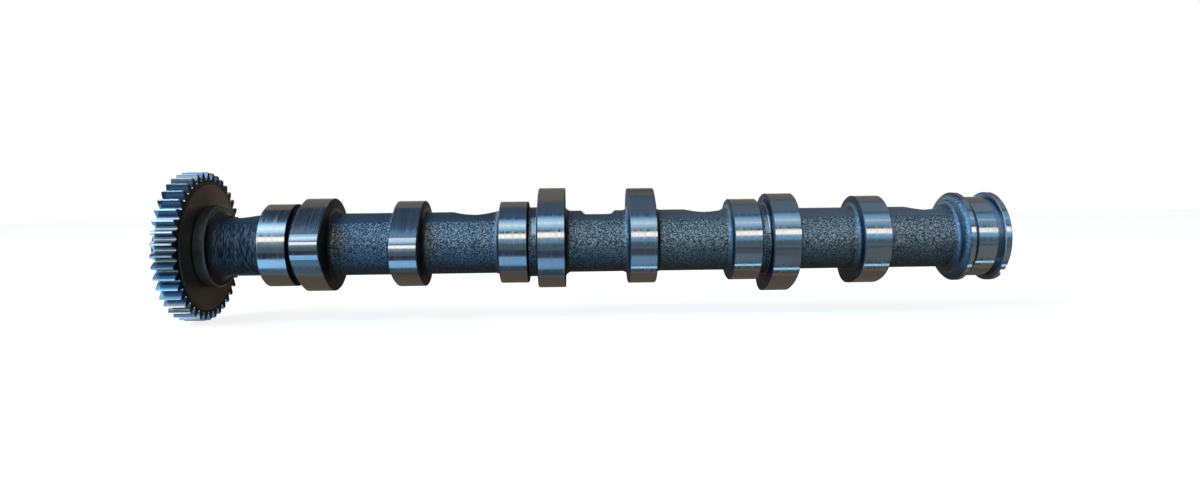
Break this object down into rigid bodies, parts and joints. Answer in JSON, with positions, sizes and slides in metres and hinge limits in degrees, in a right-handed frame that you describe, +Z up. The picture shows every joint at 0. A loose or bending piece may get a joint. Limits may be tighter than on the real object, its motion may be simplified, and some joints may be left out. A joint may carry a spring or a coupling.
{
  "type": "camshaft with timing gear",
  "caption": "Cast camshaft with ground journals and paired cams for each cylinder, a spur timing gear pressed on one end and a slotted flange on the other.",
  "frame": {"origin": "on the shaft's axis, in the middle of the first bearing journal, next to the gear end", "axes": "+X along the shaft from the gear to the end flange, +Z up; the first cylinder's near cam points along -Y"},
  "size_m": [0.3228, 0.0566, 0.0566],
  "materials": {
    "camshaft": "rough cast between bands of ground, polished iron",
    "timing_gear": "ground teeth, dark turned faces"
  },
  "bodies": {
    "root": {"camshaft": "camshaft", "timing_gear": "timing_gear"}
  },
  "joints": []
}
